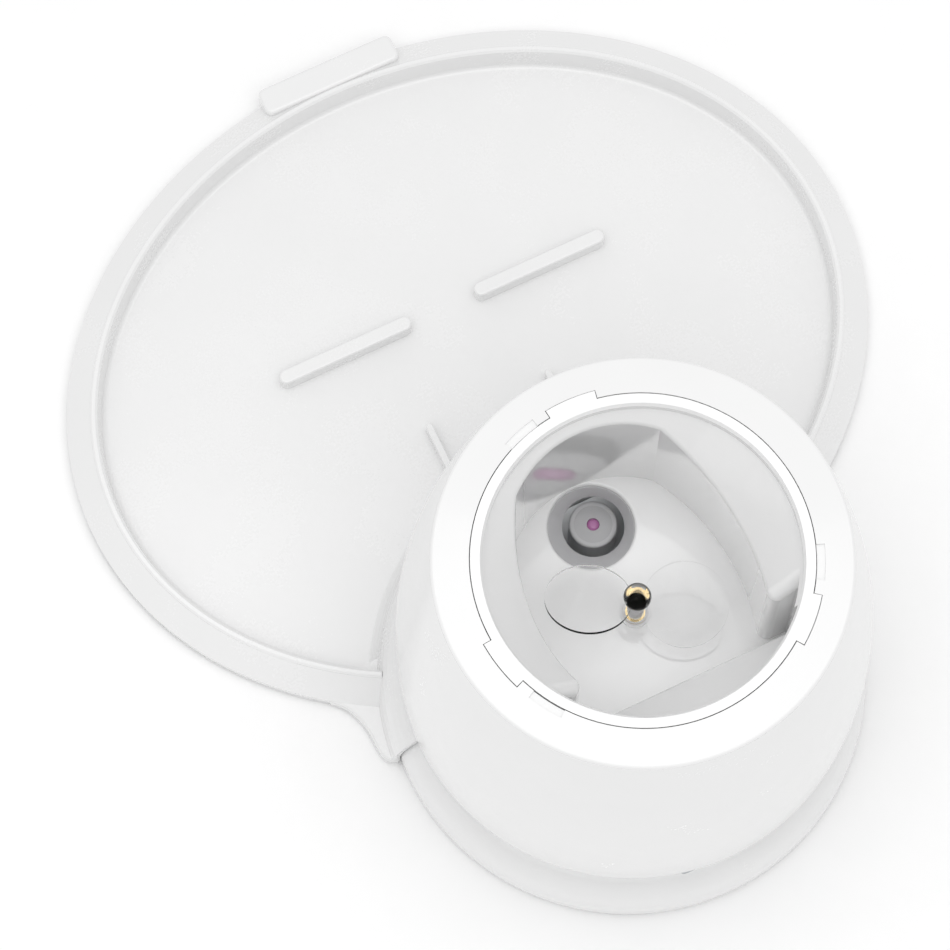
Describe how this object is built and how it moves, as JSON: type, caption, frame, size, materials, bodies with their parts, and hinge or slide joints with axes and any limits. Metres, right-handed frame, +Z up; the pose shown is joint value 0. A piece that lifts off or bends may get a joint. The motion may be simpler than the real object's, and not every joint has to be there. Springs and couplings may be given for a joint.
{
  "type": "automatic pet feeder",
  "caption": "Automatic pet feeder: round bulged hopper on a drum base with a clear two-bladed rotor on its floor, a drop hole and chute, and a wide oval pull-off dish tray.",
  "frame": {"origin": "middle of the overall length and width, on the surface that the feeder stands on; the hopper axis stands 100 mm behind it", "axes": "+Z up along the hopper axis, the tray lies towards -Y, X is the tray's long direction across"},
  "size_m": [0.352, 0.4, 0.195],
  "materials": {
    "white_shell": "gloss",
    "white_base": "gloss",
    "white_collar": "gloss",
    "white_insert": "gloss",
    "white_tray": "gloss",
    "clear_rotor": "gloss",
    "clear_knob": "gloss",
    "throat_grey": "satin",
    "pod_grey": "satin",
    "window_grey": "gloss",
    "ir_pink": "gloss",
    "chute_white": "satin",
    "inner_plastic": "satin",
    "foot_rubber": "matte",
    "seal_rubber": "matte",
    "bright_steel": "satin",
    "motor_steel": "satin",
    "bush_brass": "satin",
    "gear_plastic": "satin",
    "dog_plastic": "satin",
    "board_green": "satin",
    "chip_black": "satin",
    "socket_black": "satin",
    "cell_wrap": "gloss",
    "button_grey": "satin"
  },
  "bodies": {
    "base": {"base_shell": "white_base", "bottom_plate": "white_base", "base_feet": "foot_rubber", "plate_screws": "bright_steel", "body_shell": "white_shell", "body_screws": "bright_steel", "top_collar": "white_collar", "gear_deck": "inner_plastic", "gear_cover": "inner_plastic", "cover_screws": "bright_steel", "idler_axle": "bright_steel", "motor_can": "motor_steel", "drop_throat": "throat_grey", "chute": "chute_white", "sensor_pod": "pod_grey", "sensor_window": "window_grey", "ir_emitter": "ir_pink", "battery_bay": "inner_plastic", "battery_cells": "cell_wrap", "battery_contacts": "bright_steel", "control_board": "board_green", "board_parts": "chip_black", "dc_socket": "socket_black", "button_switch": "chip_black"},
    "hopper_cup": {"hopper_insert": "white_insert", "hopper_seal": "seal_rubber", "shaft_bush": "bush_brass"},
    "rotor": {"rotor_paddle": "clear_rotor", "rotor_knob": "clear_knob", "rotor_spindle": "bright_steel", "rotor_coupler": "dog_plastic"},
    "output_drive": {"output_gear": "gear_plastic", "output_shaft": "bright_steel", "drive_dog": "dog_plastic"},
    "idler": {"idler_gear": "gear_plastic"},
    "motor_drive": {"motor_shaft": "bright_steel", "motor_pinion": "bush_brass"},
    "dish": {"tray": "white_tray", "tray_feet": "foot_rubber"},
    "door": {"battery_door": "white_base"},
    "button": {"power_button": "button_grey"}
  },
  "joints": [
    {"name": "hopper_lift", "type": "slide", "parent": "base", "child": "hopper_cup", "axis": [0, 0, 1], "range_m": [0, 0.12]},
    {"name": "rotor_spin", "type": "hinge", "parent": "hopper_cup", "child": "rotor", "pos_m": [0, 0.1, 0.13], "axis": [0, 0, 1], "continuous": true},
    {"name": "output_spin", "type": "hinge", "parent": "base", "child": "output_drive", "pos_m": [0, 0.1, 0.09], "axis": [0, 0, 1], "continuous": true},
    {"name": "idler_spin", "type": "hinge", "parent": "base", "child": "idler", "pos_m": [0, 0.122, 0.08], "axis": [0, 0, 1], "continuous": true},
    {"name": "motor_spin", "type": "hinge", "parent": "base", "child": "motor_drive", "pos_m": [0, 0.1404, 0.08], "axis": [0, 0, 1], "continuous": true},
    {"name": "tray_pull", "type": "slide", "parent": "base", "child": "dish", "axis": [0, -1, 0], "range_m": [0, 0.12]},
    {"name": "battery_door_drop", "type": "slide", "parent": "base", "child": "door", "axis": [0, 0, -1], "range_m": [0, 0.025]},
    {"name": "power_button_press", "type": "slide", "parent": "base", "child": "button", "axis": [0, -1, 0], "range_m": [0, 0.0012], "stiffness_N_per_m": 700}
  ],
  "couplings": [
    {"joint": "output_spin", "follows": "rotor_spin", "ratio": 1},
    {"joint": "idler_spin", "follows": "rotor_spin", "ratio": -2.6667},
    {"joint": "motor_spin", "follows": "rotor_spin", "ratio": 9.6}
  ]
}
